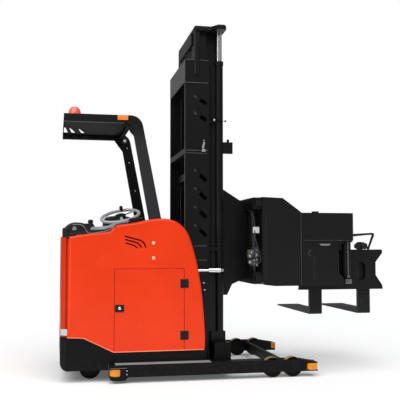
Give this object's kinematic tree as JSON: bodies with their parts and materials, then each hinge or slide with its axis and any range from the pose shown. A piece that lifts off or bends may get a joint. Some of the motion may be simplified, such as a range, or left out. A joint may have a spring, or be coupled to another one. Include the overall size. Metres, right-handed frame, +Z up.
{
  "type": "three-way stacker",
  "caption": "Three-way stacker truck with straddle legs, a two-stage mast and a traversing, turning fork head, with an orange body and an overhead guard.",
  "frame": {"origin": "on the floor under the middle of the bounding box", "axes": "+X forward, towards the forks' mast side; +Y the truck's left; +Z up"},
  "size_m": [2.993, 1.44, 3.175],
  "materials": {
    "body_orange": "gloss orange-red enamel",
    "chassis_black": "satin black paint",
    "mast_black": "satin black paint, lightly worn",
    "head_black": "semi-gloss black paint",
    "fork_steel": "black painted forged steel",
    "chrome_rod": "hard chrome plating",
    "tread": "tan polyurethane tread",
    "roller_amber": "amber cast polyurethane",
    "tyre_black": "black solid tread",
    "cab_plastic": "grained black plastic",
    "wheel_grey": "light grey soft plastic",
    "pad_vinyl": "black vinyl",
    "lamp_amber": "amber lens",
    "battery_case": "battery trough",
    "chain_steel": "oiled leaf chain",
    "drive_metal": "dark grey paint and zinc fittings"
  },
  "bodies": {
    "chassis": {"base_frame": "chassis_black", "mast_foot": "chassis_black", "leg_right": "chassis_black", "leg_left": "chassis_black", "leg_crossbar": "chassis_black", "side_panel_right": "body_orange", "side_panel_left": "body_orange", "rear_panel": "body_orange", "front_cowl": "body_orange", "dash_console": "cab_plastic", "armrest": "cab_plastic", "backrest_pad": "pad_vinyl", "battery": "battery_case", "guard_hoop_right": "chassis_black", "guard_hoop_left": "chassis_black", "guard_roof": "chassis_black", "beacon_dome": "lamp_amber", "marker_lamps": "lamp_amber", "mast_column_right": "mast_black", "mast_column_left": "mast_black", "mast_plate_right": "mast_black", "mast_plate_left": "mast_black", "mast_top_band": "mast_black", "mast_crossbars": "mast_black", "lift_cylinders": "mast_black", "mast_stays": "chrome_rod"},
    "door": {"battery_door": "body_orange"},
    "steering": {"steering_wheel": "wheel_grey"},
    "drive_steer": {"drive_turret": "drive_metal"},
    "drive_roll": {"drive_wheel": "tyre_black"},
    "castor_right": {"castor_fork_right": "chassis_black"},
    "castor_left": {"castor_fork_left": "chassis_black"},
    "castor_right_roll": {"castor_wheel_right": "tyre_black"},
    "castor_left_roll": {"castor_wheel_left": "tyre_black"},
    "inner_mast": {"inner_column_right": "mast_black", "inner_column_left": "mast_black", "inner_cap": "mast_black", "inner_crossbars": "mast_black", "lift_rods": "chrome_rod", "lift_chains": "chain_steel"},
    "carriage": {"carriage_frame": "mast_black", "traverse_rails": "mast_black", "traverse_drive": "drive_metal"},
    "traverse": {"slide_housing": "head_black", "rotator_cover": "head_black", "lower_arm": "head_black"},
    "head": {"fork_carriage": "head_black", "fork_rear": "fork_steel", "fork_front": "fork_steel"},
    "load_wheel_rear_right_body": {"load_wheel_rear_right": "tread"},
    "load_wheel_rear_left_body": {"load_wheel_rear_left": "tread"},
    "load_wheel_front_right_body": {"load_wheel_front_right": "tread"},
    "load_wheel_front_left_body": {"load_wheel_front_left": "tread"},
    "guide_roller_rear_right_body": {"guide_roller_rear_right": "roller_amber"},
    "guide_roller_rear_left_body": {"guide_roller_rear_left": "roller_amber"},
    "guide_roller_front_right_body": {"guide_roller_front_right": "roller_amber"},
    "guide_roller_front_left_body": {"guide_roller_front_left": "roller_amber"}
  },
  "joints": [
    {"name": "door_hinge", "type": "hinge", "parent": "chassis", "child": "door", "pos_m": [-0.437, -0.618, 0.6], "axis": [0, 0, 1], "range_deg": [0, 110]},
    {"name": "steering_turn", "type": "hinge", "parent": "chassis", "child": "steering", "pos_m": [-0.967, -0.23, 1.425], "axis": [-0.1977, -0.309, 0.9303], "continuous": true},
    {"name": "drive_steering", "type": "hinge", "parent": "chassis", "child": "drive_steer", "pos_m": [-1.207, 0, 0.2], "axis": [0, 0, 1], "range_deg": [-90, 90]},
    {"name": "drive_spin", "type": "hinge", "parent": "drive_steer", "child": "drive_roll", "pos_m": [-1.207, 0, 0.112], "axis": [0, 1, 0], "continuous": true},
    {"name": "castor_swivel_right", "type": "hinge", "parent": "chassis", "child": "castor_right", "pos_m": [-1.207, -0.4, 0.2], "axis": [0, 0, 1], "continuous": true},
    {"name": "castor_spin_right", "type": "hinge", "parent": "castor_right", "child": "castor_right_roll", "pos_m": [-1.237, -0.4, 0.093], "axis": [0, 1, 0], "continuous": true},
    {"name": "castor_swivel_left", "type": "hinge", "parent": "chassis", "child": "castor_left", "pos_m": [-1.207, 0.4, 0.2], "axis": [0, 0, 1], "continuous": true},
    {"name": "castor_spin_left", "type": "hinge", "parent": "castor_left", "child": "castor_left_roll", "pos_m": [-1.237, 0.4, 0.093], "axis": [0, 1, 0], "continuous": true},
    {"name": "load_wheel_rear_right_spin", "type": "hinge", "parent": "chassis", "child": "load_wheel_rear_right_body", "pos_m": [0.343, -0.64, 0.088], "axis": [0, 1, 0], "continuous": true},
    {"name": "load_wheel_rear_left_spin", "type": "hinge", "parent": "chassis", "child": "load_wheel_rear_left_body", "pos_m": [0.343, 0.64, 0.088], "axis": [0, 1, 0], "continuous": true},
    {"name": "load_wheel_front_right_spin", "type": "hinge", "parent": "chassis", "child": "load_wheel_front_right_body", "pos_m": [0.528, -0.64, 0.088], "axis": [0, 1, 0], "continuous": true},
    {"name": "load_wheel_front_left_spin", "type": "hinge", "parent": "chassis", "child": "load_wheel_front_left_body", "pos_m": [0.528, 0.64, 0.088], "axis": [0, 1, 0], "continuous": true},
    {"name": "guide_roller_rear_right_spin", "type": "hinge", "parent": "chassis", "child": "guide_roller_rear_right_body", "pos_m": [-1.036, -0.67, 0.089], "axis": [0, 0, 1], "continuous": true},
    {"name": "guide_roller_rear_left_spin", "type": "hinge", "parent": "chassis", "child": "guide_roller_rear_left_body", "pos_m": [-1.036, 0.67, 0.089], "axis": [0, 0, 1], "continuous": true},
    {"name": "guide_roller_front_right_spin", "type": "hinge", "parent": "chassis", "child": "guide_roller_front_right_body", "pos_m": [0.7, -0.67, 0.089], "axis": [0, 0, 1], "continuous": true},
    {"name": "guide_roller_front_left_spin", "type": "hinge", "parent": "chassis", "child": "guide_roller_front_left_body", "pos_m": [0.7, 0.67, 0.089], "axis": [0, 0, 1], "continuous": true},
    {"name": "mast_lift", "type": "slide", "parent": "chassis", "child": "inner_mast", "axis": [0, 0, 1], "range_m": [-0.23, 1.4]},
    {"name": "carriage_lift", "type": "slide", "parent": "inner_mast", "child": "carriage", "axis": [0, 0, 1], "range_m": [-0.23, 1.4]},
    {"name": "head_traverse", "type": "slide", "parent": "carriage", "child": "traverse", "axis": [0, 1, 0], "range_m": [0, 1.12]},
    {"name": "head_swing", "type": "hinge", "parent": "traverse", "child": "head", "pos_m": [1.083, -0.56, 1], "axis": [0, 0, 1], "range_deg": [-180, 0]}
  ],
  "couplings": [
    {"joint": "carriage_lift", "follows": "mast_lift", "ratio": 1}
  ]
}
